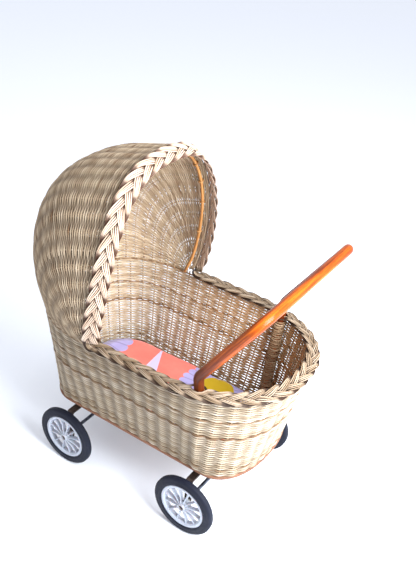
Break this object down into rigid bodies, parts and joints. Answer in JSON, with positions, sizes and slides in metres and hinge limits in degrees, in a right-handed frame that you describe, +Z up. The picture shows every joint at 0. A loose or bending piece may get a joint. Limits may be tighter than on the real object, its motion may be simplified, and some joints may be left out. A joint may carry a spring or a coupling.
{
  "type": "doll stroller",
  "caption": "Wicker doll pram: woven tub with a tall fixed hood, plaited borders, bent-wood push handle and spoked wheels on two axles under a plywood base.",
  "frame": {"origin": "on the floor, under the middle of the object's bounding box", "axes": "+X towards the handle end, with the hood at -X; +Y towards the far side; +Z up"},
  "size_m": [0.5366, 0.3508, 0.6561],
  "materials": {
    "plywood": "stained plywood, satin",
    "tub_wicker": "natural peeled willow, dull",
    "rim_plait": "natural cane, dull",
    "hood_wicker": "natural cane, dull",
    "arch_plait": "pale cane, dull",
    "cane_hoop": "brown cane, satin",
    "lacquered_wood": "orange-brown gloss lacquer",
    "sleeve_wicker": "natural cane, dull",
    "zinc_screw": "zinc plated",
    "dark_screw": "darkened steel",
    "print_cotton": "printed cotton, matt",
    "batten_wood": "stained wood",
    "painted_steel": "worn black paint",
    "cap_steel": "slightly rusted",
    "axle_steel": "dark steel",
    "washer_steel": "plain steel",
    "white_plastic": "white moulded plastic",
    "black_rubber": "black rubber, dull"
  },
  "bodies": {
    "pram": {"base_board": "plywood", "tub_wall": "tub_wicker", "tub_border": "rim_plait", "hood_shell": "hood_wicker", "hood_border": "arch_plait", "hood_hoop": "cane_hoop", "handle": "lacquered_wood", "leg_sleeve_near": "sleeve_wicker", "leg_sleeve_far": "sleeve_wicker", "leg_screw_near": "zinc_screw", "leg_screw_far": "zinc_screw", "mattress": "print_cotton", "batten_front": "batten_wood", "strap_front": "painted_steel", "axle_front": "axle_steel", "batten_rear": "batten_wood", "strap_rear": "painted_steel", "axle_rear": "axle_steel", "board_screw_front_near": "zinc_screw", "strap_screw_front_near": "dark_screw", "washer_front_near": "washer_steel", "axle_cap_front_near": "cap_steel", "board_screw_front_far": "zinc_screw", "strap_screw_front_far": "dark_screw", "washer_front_far": "washer_steel", "axle_cap_front_far": "cap_steel", "board_screw_rear_near": "zinc_screw", "strap_screw_rear_near": "dark_screw", "washer_rear_near": "washer_steel", "axle_cap_rear_near": "cap_steel", "board_screw_rear_far": "zinc_screw", "strap_screw_rear_far": "dark_screw", "washer_rear_far": "washer_steel", "axle_cap_rear_far": "cap_steel"},
    "front_near_wheel": {"wheel_front_near": "white_plastic", "tyre_front_near": "black_rubber"},
    "front_far_wheel": {"wheel_front_far": "white_plastic", "tyre_front_far": "black_rubber"},
    "rear_near_wheel": {"wheel_rear_near": "white_plastic", "tyre_rear_near": "black_rubber"},
    "rear_far_wheel": {"wheel_rear_far": "white_plastic", "tyre_rear_far": "black_rubber"}
  },
  "joints": [
    {"name": "front_near_wheel_spin", "type": "hinge", "parent": "pram", "child": "front_near_wheel", "pos_m": [0.1298, -0.1366, 0.0625], "axis": [0, 1, 0], "continuous": true},
    {"name": "front_far_wheel_spin", "type": "hinge", "parent": "pram", "child": "front_far_wheel", "pos_m": [0.1298, 0.1366, 0.0625], "axis": [0, 1, 0], "continuous": true},
    {"name": "rear_near_wheel_spin", "type": "hinge", "parent": "pram", "child": "rear_near_wheel", "pos_m": [-0.1554, -0.1366, 0.0625], "axis": [0, 1, 0], "continuous": true},
    {"name": "rear_far_wheel_spin", "type": "hinge", "parent": "pram", "child": "rear_far_wheel", "pos_m": [-0.1554, 0.1366, 0.0625], "axis": [0, 1, 0], "continuous": true}
  ]
}
